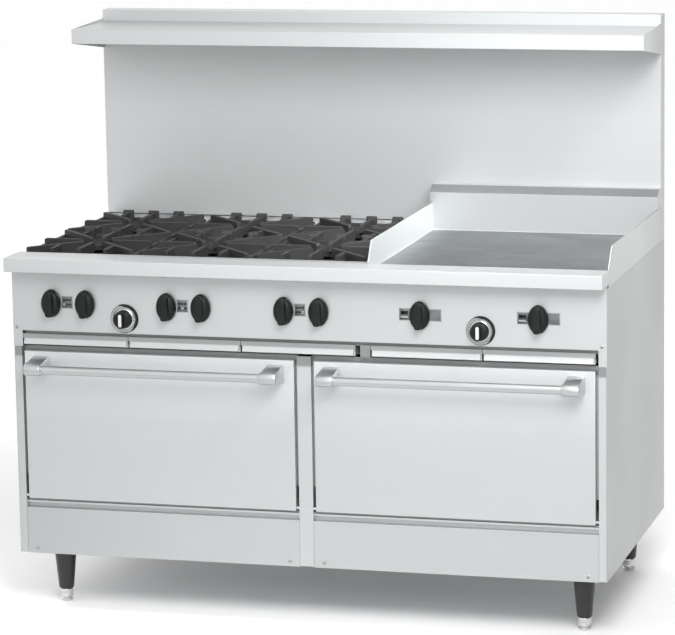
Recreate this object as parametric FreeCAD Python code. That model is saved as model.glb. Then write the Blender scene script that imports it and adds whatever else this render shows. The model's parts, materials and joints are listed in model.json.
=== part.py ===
"""Restaurant gas range: six open burners, a 24-inch griddle and two ovens.

Row frame: millimetres, +Z up, floor at z = 0, x = 0 on the middle of the range, front towards -Y.
Depths are written as F + distance, where F is the front face of the control panel.
"""
import FreeCAD, Part
import math
import os

V = FreeCAD.Vector
X_AXIS = V(1, 0, 0)
Y_AXIS = V(0, 1, 0)
Z_AXIS = V(0, 0, 1)

# ---- driving dimensions ------------------------------------------------------------------
HALF_W = 750.0          # half of the overall width
F = -366.0              # front face of the control panel and posts
BODY_DEPTH = 786.0      # control panel to the back of the cabinet
BACK = F + BODY_DEPTH
SHEET = 2.0             # every sheet-metal wall
RUN = 0.3               # gap between parts that slide past each other

BASE_Z = 150.0          # underside of the cabinet
COOK_Z = 908.0          # top of the front rail
TOP_Z = 1449.0          # top of the backguard
GUARD_Y = F + 734.0     # front face of the backguard
SKIRT_Z = 866.0         # joint between the cabinet sides and the cooktop

POST_IN = 730.0         # inner edge of the outer posts
MID_POST = 17.7         # half width of the middle post
POST_TOP = 678.0
POST_DEPTH = 40.0
RAIL_Z = 709.0           # cross rail over the drip trays
STOP_Y = F + 17.0        # door stops, behind the edges of the door skin
STOP_HALF = 336.0
STOP_Z = 656.5
BAY_CX = 373.85         # middle of each oven bay
BAY_SIDES = (-1, 1)

# oven doors
DOOR_HALF = 348.5
DOOR_Z0 = 290.5
DOOR_Z1 = 667.0
DOOR_FRONT = F - 3.0
SKIN_DEPTH = 15.0
LINER_HALF = 334.0
LINER_INSET_Z = 14.0
DOOR_BACK = F + 40.0
HINGE_Y = F + 5.0
HINGE_Z = 297.0
PIN_R = 4.0
PIN_FIT = 0.05
ARM_X = 342.5           # hinge arm, from the middle of the bay
ARM_T = 5.0

# handle
HANDLE_Z = 633.0
BAR_R = 11.0
NOSE_R = 15.0
NOSE_FRONT = F - 84.0
BAR_Y = NOSE_FRONT + NOSE_R
BRACKET_X = 303.0       # bracket middle, from the middle of the door
BRACKET_W = 41.0
BRACKET_FOOT = 44.0

# oven
OVEN_HALF = 333.5
OVEN_Z0 = 318.0
OVEN_Z1 = 648.0
OVEN_Y0 = F + 43.0
OVEN_DEEP = 559.0
LEDGE_ROWS = (410.0, 480.0, 550.0)
RACK_Z = 487.5

# cooking top
COLUMNS = (-602.0, -302.5, -3.0)
ROWS = (F + 229.0, F + 533.0)
ROW_NAMES = ("front", "rear")
COLUMN_NAMES = ("left", "middle", "right")
GRATE_HALF_X = 143.0
GRATE_HALF_Y = 151.0
GRATE_TOP = 914.0
GRATE_BASE = 884.0
LEDGE_Z = 881.0          # top of the frame's ledges
HEAD_TOP = 921.0
BURNER_TOP_Z = 872.0

# griddle
GRIDDLE_X0 = 160.0
GRIDDLE_X1 = 746.0
PLATE_Z = 889.0
PLATE_T = 15.9
PLATE_Y0 = F + 133.0
PLATE_Y1 = F + 683.0
SPLASH_Z = 960.0
SPLASH_T = 3.0
TROUGH_Z = 840.0

# controls
KNOB_Z = 790.0
KNOB_OFFSET = 44.2
GRIDDLE_KNOBS = (294.0, 585.0)
DIALS = (-457.0, 443.0)
DIAL_Z = 757.0
STEM_R = 4.0
STEM_FIT = 0.05
PANEL_Z0 = 719.0

# gas train
PIPE_R = 13.35          # 3/4 inch pipe
PIPE_BORE = 10.5
MANIFOLD_Y = F + 55.0
MANIFOLD_Z = 745.0
SUPPLY_X = 705.0
INLET_END = F + 816.0

# drip trays
TRAY_EDGES = ((-724.0, -451.0), (-447.0, -161.0), (-157.0, 130.0), (171.0, 445.0), (449.0, 722.0))
TRAY_NAMES = ("left", "middle", "right", "griddle_left", "griddle_right")
HANGER_X = (-726.5, -449.0, -159.0, 132.0, 168.5, 447.0, 724.5)
TRAY_Z0 = 683.0
TRAY_Z1 = 706.0
TRAY_LENGTH = 640.0
HANGER_TOP = 713.0
SKIRT_TOP = 894.5        # top of the cooktop's left skirt

# legs
LEG_X = 672.0
LEG_Y = (F + 112.0, F + 701.0)
FOOT_R = 16.5
FOOT_H = 33.0
FOOT_STEM_R = 8.0


# ---- small helpers -----------------------------------------------------------------------
def box(x0, x1, y0, y1, z0, z1):
    return Part.makeBox(x1 - x0, y1 - y0, z1 - z0, V(x0, y0, z0))


def cyl(centre, axis, radius, length):
    return Part.makeCylinder(radius, length, V(*centre), axis)


def rod(start, end, radius):
    a, b = V(*start), V(*end)
    return Part.makeCylinder(radius, (b - a).Length, a, b - a)


def prism_x(points, x0, x1):
    """A (y, z) outline pushed along X."""
    wire = Part.makePolygon([V(x0, y, z) for y, z in points + points[:1]])
    return Part.Face(wire).extrude(V(x1 - x0, 0, 0))


def prism_y(points, y0, y1):
    """An (x, z) outline pushed along Y."""
    wire = Part.makePolygon([V(x, y0, z) for x, z in points + points[:1]])
    return Part.Face(wire).extrude(V(0, y1 - y0, 0))


def prism_z(points, z0, z1):
    wire = Part.makePolygon([V(x, y, z0) for x, y in points + points[:1]])
    return Part.Face(wire).extrude(V(0, 0, z1 - z0))


def lathe(points, centre, axis=Z_AXIS):
    """An (r, h) outline turned about Z and then aimed along axis from centre."""
    wire = Part.makePolygon([V(r, 0, h) for r, h in points + points[:1]])
    solid = Part.Face(wire).revolve(V(0, 0, 0), Z_AXIS, 360)
    solid.Placement = FreeCAD.Placement(V(*centre), FreeCAD.Rotation(Z_AXIS, axis))
    return solid


def fuse(shapes):
    shapes = list(shapes)
    if len(shapes) == 1:
        return shapes[0]
    return shapes[0].multiFuse(shapes[1:]).removeSplitter()


def save(name, solids):
    """Write one node: a single solid, or a group of separate solids."""
    solids = solids if isinstance(solids, list) else [solids]
    parts = [s for shape in solids for s in shape.Solids]
    shape = parts[0] if len(parts) == 1 else Part.makeCompound(parts)
    assert all(s.isValid() and s.Volume > 0 for s in parts), name
    shape.exportStep("parts/%s.step" % name)
    print("%-26s solids %2d  volume %10.0f mm3" % (name, len(parts), shape.Volume))


# ---- cabinet -----------------------------------------------------------------------------
def side_panel(side):
    """Flat outer sheet of one side."""
    x0, x1 = sorted((side * HALF_W, side * (HALF_W - SHEET)))
    return box(x0, x1, F, BACK, BASE_Z, SKIRT_Z)


def rear_panel():
    """Back sheet with the gas inlet hole and two rows of air slots."""
    sheet = box(-HALF_W + SHEET, HALF_W - SHEET, BACK - SHEET, BACK, BASE_Z, 903)
    cuts = [cyl((SUPPLY_X, BACK - 5, MANIFOLD_Z), Y_AXIS, 30, 10)]
    for row_z in (200, 230):
        for i in range(12):
            x = -600 + i * 104
            cuts.append(box(x, x + 70, BACK - 5, BACK + 5, row_z, row_z + 10))
    return sheet.cut(Part.makeCompound(cuts))


def bottom_pan():
    """Cabinet floor with an upturned front edge and four thicker leg pads."""
    floor = box(-HALF_W + SHEET, HALF_W - SHEET, F + SHEET, BACK - SHEET, BASE_Z, BASE_Z + SHEET)
    pads = []
    for sx in BAY_SIDES:
        for y in LEG_Y:
            pads.append(box(sx * LEG_X - 50, sx * LEG_X + 50, y - 50, y + 50, BASE_Z + SHEET, BASE_Z + 8))
    return fuse([floor] + pads)


def front_frame():
    """Posts and sills, with the cross rail, risers, filler and door stops welded to them."""
    z0 = BASE_Z + SHEET
    y1 = F + POST_DEPTH
    pin_holes = []
    for side in BAY_SIDES:
        for hand in (-1, 1):
            wall = side * BAY_CX + hand * (POST_IN - BAY_CX + 1)
            pin_holes.append(cyl((wall - 6, HINGE_Y, HINGE_Z), X_AXIS, PIN_R + 0.4, 12))
    pins = Part.makeCompound(pin_holes)
    middle = [box(-MID_POST, MID_POST, F, F + SHEET, z0, POST_TOP)]
    members = []
    for side in BAY_SIDES:
        outer = []
        for xa, xb, ya, yb in ((HALF_W - SHEET, POST_IN, F, F + SHEET), (POST_IN, POST_IN + SHEET, F + SHEET, y1)):
            x0, x1 = sorted((side * xa, side * xb))
            outer.append(box(x0, x1, ya, yb, z0, POST_TOP))
        members.append(fuse(outer).cut(pins))
        x0, x1 = sorted((side * MID_POST, side * (MID_POST - SHEET)))
        middle.append(box(x0, x1, F + SHEET, y1, z0, POST_TOP))
        bay0, bay1 = sorted((side * MID_POST, side * POST_IN))
        members.append(fuse([box(bay0, bay1, F + 14, F + 16, 255, 286), box(bay0, bay1, F + 5, F + 14, 279, 284),
                             box(bay0, bay1, F + 16, y1, 255, 257)]))
    members.append(fuse(middle).cut(pins))

    rail_x = HALF_W - SHEET
    members.append(fuse([box(-rail_x, rail_x, F + 4, F + POST_DEPTH, RAIL_Z, RAIL_Z + SHEET),
                         box(-rail_x, rail_x, F + 10, F + 12, RAIL_Z + SHEET, PANEL_Z0)]))
    for x0, x1 in ((-rail_x, -POST_IN), (POST_IN, rail_x)):
        members.append(box(x0, x1, F + 26, F + POST_DEPTH, POST_TOP, RAIL_Z))
    members.append(fuse([box(143, 168, F, F + SHEET, 681, RAIL_Z + SHEET),
                         box(143, 168, F + SHEET, F + 4, RAIL_Z, RAIL_Z + SHEET)]))
    for side in BAY_SIDES:
        cx = side * BAY_CX
        bay_half = POST_IN - BAY_CX
        members.append(box(cx - bay_half, cx + bay_half, STOP_Y, STOP_Y + SHEET, STOP_Z, POST_TOP))
        for hand in (-1, 1):
            x0, x1 = sorted((cx + hand * bay_half, cx + hand * STOP_HALF))
            members.append(box(x0, x1, STOP_Y, STOP_Y + SHEET, 350, STOP_Z))
    return members


def control_panel():
    """Inverted U with two end tabs, returns at top and bottom, and holes for the stems."""
    outline = [(-HALF_W, POST_TOP + 0.5), (-726, POST_TOP + 0.5), (-726, PANEL_Z0), (730, PANEL_Z0),
               (730, POST_TOP + 0.5), (HALF_W, POST_TOP + 0.5), (HALF_W, 873.5), (-HALF_W, 873.5)]
    face = prism_y(outline, F - SHEET, F)
    low = box(-726, 730, F, F + 18, PANEL_Z0, PANEL_Z0 + SHEET)
    high = box(-HALF_W + SHEET, HALF_W - SHEET, F, F + 18, 871.5, 873.5)
    holes = []
    for x in KNOBS_X:
        holes.append(cyl((x, F - 5, KNOB_Z), Y_AXIS, 7, 10))
    for x in DIALS:
        holes.append(cyl((x, F - 5, DIAL_Z), Y_AXIS, 10, 10))
    return fuse([face, low, high]).cut(Part.makeCompound(holes))


def front_rail():
    """Landing ledge: a channel open to the rear, with closed ends."""
    front, rear = F - 57.6, F + 24
    outer = box(-HALF_W, HALF_W, front, rear, COOK_Z - 34, COOK_Z)
    inner = box(-HALF_W + SHEET, HALF_W - SHEET, front + SHEET, rear + 1, COOK_Z - 32, COOK_Z - SHEET)
    shell = outer.cut(inner)
    edges = [e for e in shell.Edges
             if abs(e.BoundBox.YMax - front) < 0.01 and e.BoundBox.XLength > 1400]
    return shell.makeFillet(1.2, edges)


def kick_panel(side):
    """Removable lower front panel under one oven, with a top return."""
    x0, x1 = sorted((side * (MID_POST + 0.3), side * (POST_IN - 0.3)))
    face = box(x0, x1, F, F + SHEET, BASE_Z - 1, 267)
    lip = box(x0, x1, F + SHEET, F + 11, 265, 267)
    return fuse([face, lip])


# ---- backguard and shelf -----------------------------------------------------------------
def backguard():
    """Hollow guard for the flue gases, open below, slotted behind, with two side skirts."""
    outer = box(-HALF_W, HALF_W, GUARD_Y, BACK, 905, TOP_Z)
    inner = box(-HALF_W + SHEET, HALF_W - SHEET, GUARD_Y + SHEET, BACK - SHEET, 900, TOP_Z - SHEET)
    slots = []
    for i in range(12):
        x = -690 + i * 118
        slots.append(box(x, x + 84, BACK - 5, BACK + 5, 1378, 1392))
    skirts = []
    for side in (-1, 1):
        x0, x1 = sorted((side * HALF_W, side * (HALF_W - SHEET)))
        skirts.append(box(x0, x1, GUARD_Y, BACK, SKIRT_Z, 905))
    return fuse([outer.cut(inner).cut(Part.makeCompound(slots))] + skirts)


def high_shelf():
    """Shelf sheet with a front lip, a hemmed return, rear flange and two end gussets."""
    y0 = F + 486
    top = box(-HALF_W + SHEET, HALF_W - SHEET, y0, GUARD_Y, 1417.8, 1419.8)
    lip = box(-HALF_W, HALF_W, y0, y0 + SHEET, 1382.6, 1419.8)
    hem = box(-HALF_W + SHEET, HALF_W - SHEET, y0 + SHEET, y0 + 14, 1382.6, 1384.6)
    flange = box(-HALF_W + SHEET, HALF_W - SHEET, GUARD_Y - SHEET, GUARD_Y, 1385, 1418)
    gusset = [(y0, 1382.6), (GUARD_Y, 1348.3), (GUARD_Y, 1426.3), (y0, 1419.8)]
    ends = [prism_x(gusset, -HALF_W, -HALF_W + SHEET), prism_x(gusset, HALF_W - SHEET, HALF_W)]
    return fuse([top, lip, hem, flange] + ends)


# ---- ovens -------------------------------------------------------------------------------
def oven_liner(cx):
    """Enamelled tunnel: walls, roof and back, with a flat face, rack ledges and deck ledges."""
    y1 = OVEN_Y0 + OVEN_DEEP
    low, face_half, face_y = OVEN_Z0 - 8, 353, F + 41
    x0, x1 = cx - OVEN_HALF - SHEET, cx + OVEN_HALF + SHEET
    flue = [box(cx - 220 + i * 90, cx - 150 + i * 90, y1 - 5, y1 + 5, OVEN_Z1 - 30, OVEN_Z1 - 16) for i in range(5)]
    sheets = [
        box(x0, x1, OVEN_Y0, y1 + SHEET, OVEN_Z1, OVEN_Z1 + SHEET),
        box(x0, x1, y1, y1 + SHEET, low, OVEN_Z1).cut(Part.makeCompound(flue)),
        box(cx - face_half, cx + face_half, face_y, OVEN_Y0, OVEN_Z1, 672),
        box(cx - face_half, cx + face_half, face_y, OVEN_Y0, OVEN_Z0 - 4, OVEN_Z0),
    ]
    for hand in (-1, 1):
        wall = cx + hand * OVEN_HALF
        xa, xb = sorted((wall, wall + hand * SHEET))
        sheets.append(box(xa, xb, OVEN_Y0, y1, low, OVEN_Z1))
        xa, xb = sorted((wall, cx + hand * face_half))
        sheets.append(box(xa, xb, face_y, OVEN_Y0, OVEN_Z0, OVEN_Z1))
        for z in LEDGE_ROWS:
            xa, xb = sorted((wall, wall - hand * 12))
            sheets.append(box(xa, xb, OVEN_Y0 + 20, y1 - 20, z, z + 3))
        xa, xb = sorted((wall, wall - hand * 10))
        sheets.append(box(xa, xb, OVEN_Y0, y1, OVEN_Z0 - 4, OVEN_Z0))
    return sheets


def oven_deck(cx):
    """Removable oven floor with a front lip and flame slots along both sides."""
    y1 = OVEN_Y0 + OVEN_DEEP
    plate = box(cx - OVEN_HALF + 2, cx + OVEN_HALF - 2, OVEN_Y0 + 2, y1 - 3, OVEN_Z0, OVEN_Z0 + 3)
    slots = []
    for hand in (-1, 1):
        for i in range(5):
            y = OVEN_Y0 + 50 + i * 98
            x = cx + hand * 295
            slots.append(box(x - 8, x + 8, y, y + 70, OVEN_Z0 - 5, OVEN_Z0 + 8))
    return plate.cut(Part.makeCompound(slots))


def oven_rack(cx):
    """Plated wire rack: a frame of thick rod with thinner wires across it."""
    half_x, y0, y1 = OVEN_HALF - 5, OVEN_Y0 + 34, OVEN_Y0 + 34 + 500
    frame_r, wire_r = 4.0, 2.5
    z = RACK_Z
    bars = [rod((cx - half_x, y0 - frame_r, z), (cx - half_x, y1 + frame_r, z), frame_r),
            rod((cx + half_x, y0 - frame_r, z), (cx + half_x, y1 + frame_r, z), frame_r)]
    for y in (y0, (y0 + y1) / 2, y1):
        bars.append(rod((cx - half_x, y, z - 0.4), (cx + half_x, y, z - 0.4), frame_r - 0.4))
    count = 19
    for i in range(count):
        x = cx + (i - (count - 1) / 2) * (2 * half_x - 40) / (count - 1)
        bars.append(rod((x, y0 - 1.3, z + 4.2), (x, y1 + 1.3, z + 4.2), wire_r))
    return bars[0].multiFuse(bars[1:])


def oven_burner(cx):
    """Two parallel flame tubes joined at the rear, fed by one venturi at the front."""
    z, r = 235.0, 16.0
    y0, y1 = F + 130, F + 560
    tubes = []
    for hand in (-1, 1):
        tubes.append(rod((cx + hand * 120, y0, z), (cx + hand * 120, y1, z), r))
    tubes.append(rod((cx - 120, y1 - 30, z), (cx + 120, y1 - 30, z), r * 0.8))
    tubes.append(rod((cx - 120, y0 + 40, z), (cx + 120, y0 + 40, z), r * 0.8))
    tubes.append(rod((cx, F + 75, z), (cx, y0 + 40, z), r * 0.9))
    tubes.append(cyl((cx, F + 70, z), Y_AXIS, 24, 26))
    feet = [box(cx - 130, cx + 130, y, y + 20, BASE_Z + SHEET, z - 10) for y in (y0 + 100, y1 - 90)]
    windows = [box(cx - 100, cx + 100, y - 1, y + 21, BASE_Z + 20, z - 30) for y in (y0 + 100, y1 - 90)]
    throat = cyl((cx, F + 60, z), Y_AXIS, 9, 60)
    return fuse(tubes + feet).cut(Part.makeCompound(windows + [throat]))


# ---- oven doors --------------------------------------------------------------------------
def door_skin(cx):
    """Outer pan of the door, notched at the bottom for the hinge arms and pins."""
    outer = box(cx - DOOR_HALF, cx + DOOR_HALF, DOOR_FRONT, DOOR_FRONT + SKIN_DEPTH, DOOR_Z0, DOOR_Z1)
    edges = [e for e in outer.Edges if abs(e.BoundBox.YMax - DOOR_FRONT) < 0.01]
    outer = outer.makeFillet(1.5, edges)
    inner = box(cx - DOOR_HALF + SHEET, cx + DOOR_HALF - SHEET, DOOR_FRONT + SHEET, F + 30,
                DOOR_Z0 + SHEET, DOOR_Z1 - SHEET)
    cuts = [inner]
    for hand in (-1, 1):
        x = cx + hand * ARM_X
        cuts.append(box(x - 3.5, x + 3.5, DOOR_FRONT + SHEET, F + 30, DOOR_Z0 - 2, DOOR_Z0 + 3))
        cuts.append(cyl((cx + hand * (DOOR_HALF - 1) - 3, HINGE_Y, HINGE_Z), X_AXIS, PIN_R + 1, 6))
    return outer.cut(Part.makeCompound(cuts))


def door_liner(cx):
    """Inner pan: a flange inside the skin with a box pressed towards the oven."""
    flange_y0, flange_y1 = DOOR_FRONT + SKIN_DEPTH - SHEET, DOOR_FRONT + SKIN_DEPTH
    half = DOOR_HALF - SHEET
    flange = box(cx - half, cx + half, flange_y0, flange_y1, DOOR_Z0 + SHEET, DOOR_Z1 - SHEET)
    z0, z1 = DOOR_Z0 + LINER_INSET_Z, DOOR_Z1 - LINER_INSET_Z
    pan = box(cx - LINER_HALF, cx + LINER_HALF, flange_y1, DOOR_BACK, z0, z1)
    hollow = box(cx - LINER_HALF + SHEET, cx + LINER_HALF - SHEET, flange_y0 - 1, DOOR_BACK - SHEET,
                 z0 + SHEET, z1 - SHEET)
    slots = [box(cx + hand * ARM_X - 2.8, cx + hand * ARM_X + 2.8, flange_y0 - 1, flange_y1 + 1, 280, 345)
             for hand in (-1, 1)]
    return fuse([flange, pan]).cut(Part.makeCompound([hollow] + slots))


def hinge_arm(x):
    """Flat arm with an eye round the pin and a leg that runs up inside the door."""
    x0, x1 = x - ARM_T / 2, x + ARM_T / 2
    leg = prism_x([(HINGE_Y - 4, HINGE_Z), (HINGE_Y + 6, HINGE_Z - 3), (F + 20, 307), (F + 20, 340), (F + 2, 340)],
                  x0, x1)
    eye = cyl((x0, HINGE_Y, HINGE_Z), X_AXIS, 6.0, ARM_T)
    bore = cyl((x0 - 1, HINGE_Y, HINGE_Z), X_AXIS, PIN_R + PIN_FIT, ARM_T + 2)
    return fuse([leg, eye]).cut(bore)


def hinge_receiver(cx, hand):
    """Block inside a post with the fixed pin that the hinge arm turns on."""
    wall = cx + hand * (POST_IN - BAY_CX + SHEET)
    x0, x1 = sorted((wall, wall + hand * 9))
    block = box(x0, x1, F + SHEET, F + 18, HINGE_Z - 12, HINGE_Z + 12)
    tip = cx + hand * (ARM_X - 4)
    pin = rod((tip, HINGE_Y, HINGE_Z), (wall + hand * 2, HINGE_Y, HINGE_Z), PIN_R)
    return fuse([block, pin])


def door_handle(cx):
    """Tube between two cast brackets that flare towards the door."""
    pieces = []
    for hand in (-1, 1):
        x0 = cx + hand * BRACKET_X - BRACKET_W / 2
        half_foot = BRACKET_FOOT / 2
        y_tan = BAR_Y + 1.5
        wedge = prism_x([(DOOR_FRONT, HANDLE_Z - half_foot), (DOOR_FRONT, HANDLE_Z + half_foot),
                         (y_tan, HANDLE_Z + NOSE_R - 0.1), (BAR_Y, HANDLE_Z),
                         (y_tan, HANDLE_Z - NOSE_R + 0.1)], x0, x0 + BRACKET_W)
        nose = cyl((x0, BAR_Y, HANDLE_Z), X_AXIS, NOSE_R, BRACKET_W)
        pieces.append(fuse([wedge, nose]))
    reach = BRACKET_X - BRACKET_W / 2
    tube = rod((cx - reach, BAR_Y, HANDLE_Z), (cx + reach, BAR_Y, HANDLE_Z), BAR_R)
    bore = rod((cx - reach - 1, BAR_Y, HANDLE_Z), (cx + reach + 1, BAR_Y, HANDLE_Z), BAR_R - 1.6)
    pieces.append(tube.cut(bore))
    return pieces


# ---- cooking top -------------------------------------------------------------------------
def cooktop_frame():
    """Welded frame over the cabinet: skirt, grate ledges and burner rails, member by member."""
    left, right = -HALF_W, GRIDDLE_X0 - 3
    in_left, in_right = left + 2 * SHEET, right - SHEET
    y_front, y_back = F + 24, GUARD_Y
    y0, y1 = F + 54, F + 686
    members = [
        box(left, left + SHEET, y_front, y_back, SKIRT_Z, SKIRT_TOP),
        fuse([box(left + SHEET, right, y_front, y0, COOK_Z - 3, COOK_Z - 1),
              box(left + SHEET, right, y0 - SHEET, y0, SKIRT_Z, COOK_Z - 1)]),
        box(left + SHEET, in_left, y0, y1, HANGER_TOP, LEDGE_Z),
        box(left + SHEET, right, y1, y1 + SHEET, HANGER_TOP, 891),
        box(left + SHEET, right, y1 + SHEET, y_back - SHEET, 889, 891),
        box(left + SHEET, right, y_back - SHEET, y_back, SKIRT_Z, 903),
    ]
    pipe_hole = cyl((right - 10, MANIFOLD_Y, MANIFOLD_Z), X_AXIS, PIPE_R + 3, 20)
    members.append(box(in_right, right, y0, y1, HANGER_TOP, LEDGE_Z).cut(pipe_hole))
    cross = ((y0, y0 + 14), (F + 371, F + 395), (y1 - 14, y1))
    for ya, yb in cross:
        members.append(box(in_left, in_right, ya, yb, LEDGE_Z - SHEET, LEDGE_Z))
    columns = [(in_left, in_left + 8)]
    for cx in COLUMNS[:2]:
        edge = cx + GRATE_HALF_X + 2
        columns.append((edge - 5, edge + 15))
    for (_, ya), (yb, _) in zip(cross, cross[1:]):
        for xa, xb in columns:
            members.append(box(xa, xb, ya, yb, LEDGE_Z - SHEET, LEDGE_Z))
    for y in (F + 382, F + 678):
        members.append(box(in_left, in_right, y, y + SHEET, 851, LEDGE_Z - SHEET))
    for y in ROWS:
        members.append(box(in_left, in_right, y + 20, y + 36, 812, 814))
    return members


def tray_hangers():
    """Inverted-T rails that the drip trays run on, hung from two cross bars."""
    y0, y1 = F + 42, F + 686
    members = []
    for x in HANGER_X:
        members.append(fuse([box(x - 1, x + 1, y0, y1, 682.5, HANGER_TOP - SHEET),
                             box(x - 8, x + 8, y0, y1, 680.5, 682.5)]))
    for ya, yb in ((y0, y0 + 16), (y1 - 18, y1 + SHEET)):
        members.append(box(-HALF_W + SHEET, HALF_W - SHEET, ya, yb, HANGER_TOP - SHEET, HANGER_TOP))
    return members


def bowl_mid(radius):
    """Height of the middle of the bowl's wall at a radius."""
    return 880.0 + 0.125 * (radius - 58.0)


def grate_finger(reach, angle):
    """One tapered rib from the bowl's hole outwards, turned to its angle about the origin."""
    inner, width = 40.0, 11.0
    outline = [(inner, 893), (60, 885), (68, bowl_mid(68)), (reach, bowl_mid(reach)), (reach, GRATE_TOP - 3),
               (reach - 3, GRATE_TOP), (inner + 3, GRATE_TOP), (inner, GRATE_TOP - 4)]
    slab = prism_y(outline, -width / 2, width / 2)
    slab.rotate(V(0, 0, 0), Z_AXIS, angle)
    return slab


def grate():
    """One 12-inch casting about the origin: frame, bowl, twelve fingers and three rear lugs."""
    hx, hy, bar = GRATE_HALF_X, GRATE_HALF_Y, 9.0
    ring = box(-hx, hx, -hy, hy, GRATE_BASE, GRATE_BASE + 17)
    ring = ring.cut(box(-hx + bar, hx - bar, -hy + bar, hy - bar, GRATE_BASE - 1, GRATE_BASE + 30))
    bowl = lathe([(58, 877.5), (66, 878.5), (216, 897.25), (216, 901.25), (66, 882.5), (66, 888), (58, 888)],
                 (0, 0, 0))
    bowl = bowl.common(box(-hx + 4, hx - 4, -hy + 4, hy - 4, 870, 905))
    corner = math.degrees(math.atan2(hy - 6, hx - 6))
    reach = math.hypot(hx - 6, hy - 6)
    fingers = [grate_finger(reach, angle) for angle in (corner, 180 - corner, 180 + corner, -corner)]
    fingers += [grate_finger(hx - 1, angle) for angle in (0, 180)]
    fingers += [grate_finger(hy - 1, angle) for angle in (90, 270)]
    for x in (-70, 70):
        for side in (-1, 1):
            outline = [(side * 92, 887.5), (side * (hy - 1), 893), (side * (hy - 1), GRATE_TOP), (side * 92, GRATE_TOP)]
            fingers.append(prism_x(outline, x - 5, x + 5))
    lugs = []
    for x in (-70, 0, 70):
        lug = prism_x([(hy - 17, 897), (hy - 0.5, 897), (hy - 0.5, HEAD_TOP - 4), (hy - 4, HEAD_TOP),
                       (hy - 11, HEAD_TOP), (hy - 17, GRATE_TOP + 1)], x - 13, x + 13)
        lugs.append(lug)
    return fuse([ring] + fingers + lugs).fuse(bowl)


def open_burner(cx, y, valve_x, rear):
    """Two castings: a bowl with its venturi tube, and a ported head that lifts off it."""
    bowl = lathe([(0, 815), (40, 820), (46, 850), (38, 850), (33, 826), (0, 822)], (cx, y, 0))
    tube_r = 13.0
    foot_pad = cyl((cx, y + 28, 814), Z_AXIS, 6, 8)
    if rear:
        tube = rod((valve_x, F + 80, KNOB_Z - 2), (cx, y, KNOB_Z - 2), tube_r)
        riser = cyl((cx, y, KNOB_Z - 18), Z_AXIS, tube_r + 3, 47)
        parts = [bowl, foot_pad, tube, riser]
    else:
        tube = rod((valve_x, F + 80, KNOB_Z - 2), (cx, y - 20, 826), tube_r)
        parts = [bowl, foot_pad, tube]
    mouth = cyl((valve_x, F + 76, KNOB_Z - 2), Y_AXIS, tube_r + 5, 14)
    bore = cyl((valve_x, F + 70, KNOB_Z - 2), Y_AXIS, 8.5, 40)
    base = parts[0].multiFuse(parts[1:] + [mouth]).cut(bore)
    top = BURNER_TOP_Z
    head = lathe([(0, 852), (30, 852), (30, 850), (48, 850), (52, 856), (52, 862), (40, top - 4),
                  (18, top), (0, top)], (cx, y, 0))
    ports = []
    for i in range(16):
        angle = 2 * math.pi * i / 16
        x1, y1 = cx + 60 * math.cos(angle), y + 60 * math.sin(angle)
        x0, y0 = cx + 44 * math.cos(angle), y + 44 * math.sin(angle)
        ports.append(rod((x0, y0, 859), (x1, y1, 859), 2.2))
    return [base, head.cut(Part.makeCompound(ports))]


# ---- griddle -----------------------------------------------------------------------------
def griddle_plate():
    plate = box(GRIDDLE_X0, GRIDDLE_X1, PLATE_Y0, PLATE_Y1, PLATE_Z - PLATE_T, PLATE_Z)
    edges = [e for e in plate.Edges
             if abs(e.BoundBox.YMax - PLATE_Y0) < 0.01 and abs(e.BoundBox.ZMin - PLATE_Z) < 0.01]
    return plate.makeFillet(3.0, edges)


def griddle_splash():
    """Left, right and rear walls round the plate, welded at the corners."""
    low = 850.0
    y0, y1 = F + 25, GUARD_Y
    left = prism_x([(F + 54, low), (F + 54, 902), (y0, 909), (y0 + 34, SPLASH_Z), (PLATE_Y1, SPLASH_Z),
                    (PLATE_Y1, low)], GRIDDLE_X0 - SPLASH_T, GRIDDLE_X0)
    right = prism_x([(y0, SKIRT_Z), (y0, 909), (y0 + 46, SPLASH_Z), (y1, SPLASH_Z - 5), (y1, SKIRT_Z)],
                    HALF_W - SPLASH_T, HALF_W)
    rear_top, hem_y, hem_z = 987.0, PLATE_Y1 + 23, 1005.0
    under = PLATE_Z - PLATE_T
    rear = prism_x([(PLATE_Y1, under), (PLATE_Y1, rear_top), (hem_y, hem_z), (y1, hem_z),
                    (y1, hem_z - SHEET), (hem_y + 1, hem_z - SHEET), (PLATE_Y1 + SPLASH_T, rear_top - 1),
                    (PLATE_Y1 + SPLASH_T, under)], GRIDDLE_X0 - 8, HALF_W)
    end_cap = prism_x([(PLATE_Y1 + SPLASH_T, 891.5), (PLATE_Y1 + SPLASH_T, rear_top - 1),
                       (hem_y + 1, hem_z - SHEET), (y1, hem_z - SHEET), (y1, 905.5), (y1 - 20, 891.5)],
                      GRIDDLE_X0 - 8, GRIDDLE_X0 - 6)
    right_cap = prism_x([(PLATE_Y1 + SPLASH_T, SPLASH_Z - 10), (PLATE_Y1 + SPLASH_T, rear_top - 1),
                         (hem_y + 1, hem_z - SHEET), (y1, hem_z - SHEET), (y1, SPLASH_Z - 10)],
                        HALF_W - SHEET, HALF_W)
    notch = box(GRIDDLE_X0 - 9, GRIDDLE_X0 - SPLASH_T, PLATE_Y1 - 1, PLATE_Y1 + SPLASH_T + 1, 860, 891.5)
    rear = fuse([rear, end_cap, right_cap]).cut(Part.makeCompound([notch, right]))
    return [left, right, rear]


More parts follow.
